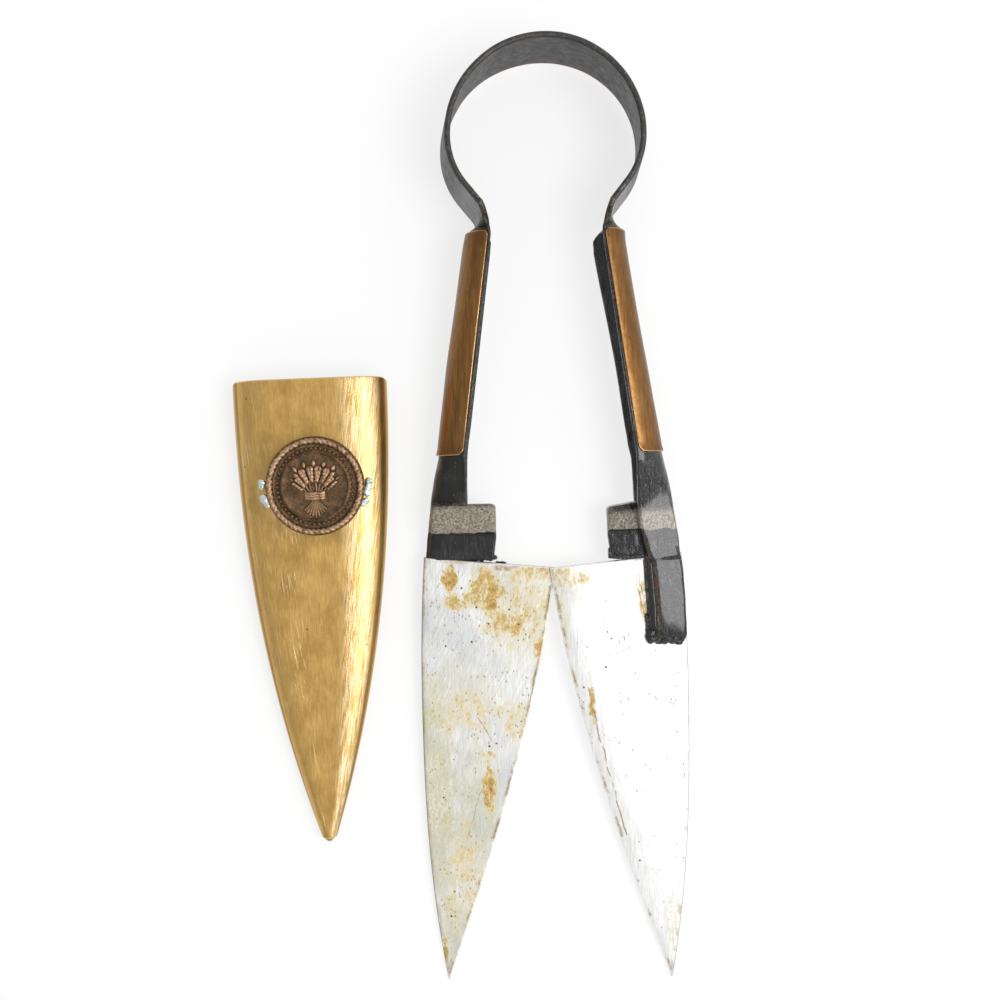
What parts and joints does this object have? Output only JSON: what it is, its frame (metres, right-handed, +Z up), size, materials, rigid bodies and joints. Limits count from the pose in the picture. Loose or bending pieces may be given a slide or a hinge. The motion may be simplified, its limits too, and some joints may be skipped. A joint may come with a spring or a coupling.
{
  "type": "sheep shears",
  "caption": "Sprung-bow hand shears with copper-sleeved channel handles and lapped steel blades, lying beside the tapered brass sheath that covers the blades.",
  "frame": {"origin": "centre of the whole set's bounding box, on the surface that the shears and the sheath lie on", "axes": "+Y along the shears from the blades' tips to the bow, +X from the sheath to the shears, +Z up"},
  "size_m": [0.161, 0.3336, 0.0339],
  "materials": {
    "black_steel": "glossy black enamel, dusty and worn",
    "grip_copper": "satin, darkened by handling",
    "blade_steel": "brushed, with rust-brown stains",
    "weld": "lumpy, painted over",
    "sheath_brass": "brushed, brighter on the rounded sides",
    "badge_bronze": "dark cast bronze",
    "solder": "dull grey, touched with verdigris"
  },
  "bodies": {
    "bow": {"bow_spring": "black_steel"},
    "left_arm": {"left_shank": "black_steel", "left_grip": "grip_copper", "left_stop_lug": "black_steel", "left_blade": "blade_steel", "left_tang_weld": "weld", "left_heel_weld": "weld"},
    "right_arm": {"right_shank": "black_steel", "right_grip": "grip_copper", "right_stop_lug": "black_steel", "right_blade": "blade_steel", "right_tang_weld": "weld", "right_heel_weld": "weld"},
    "sheath": {"sheath_front": "sheath_brass", "sheath_back": "sheath_brass", "sheath_tip_plug": "solder", "badge_plate": "badge_bronze", "badge_rim": "badge_bronze", "badge_sheaf": "badge_bronze", "badge_solder": "solder"}
  },
  "joints": [
    {"name": "left_arm_close", "type": "hinge", "parent": "bow", "child": "left_arm", "pos_m": [0.00725, 0.14264, 0.01723], "axis": [0, -0.0516, 0.9987], "range_deg": [0, 7.6], "stiffness_Nm_per_rad": 12, "deforming": ["bow_spring"]},
    {"name": "right_arm_close", "type": "hinge", "parent": "bow", "child": "right_arm", "pos_m": [0.05725, 0.14264, 0.01723], "axis": [0, -0.0516, 0.9987], "range_deg": [-7.6, 0], "stiffness_Nm_per_rad": 12, "deforming": ["bow_spring"]},
    {"name": "sheath_draw", "type": "slide", "parent": "bow", "child": "sheath", "axis": [0.0175, -0.9998, 0], "range_m": [0, 0.165]}
  ],
  "couplings": [
    {"joint": "right_arm_close", "follows": "left_arm_close", "ratio": -1}
  ]
}
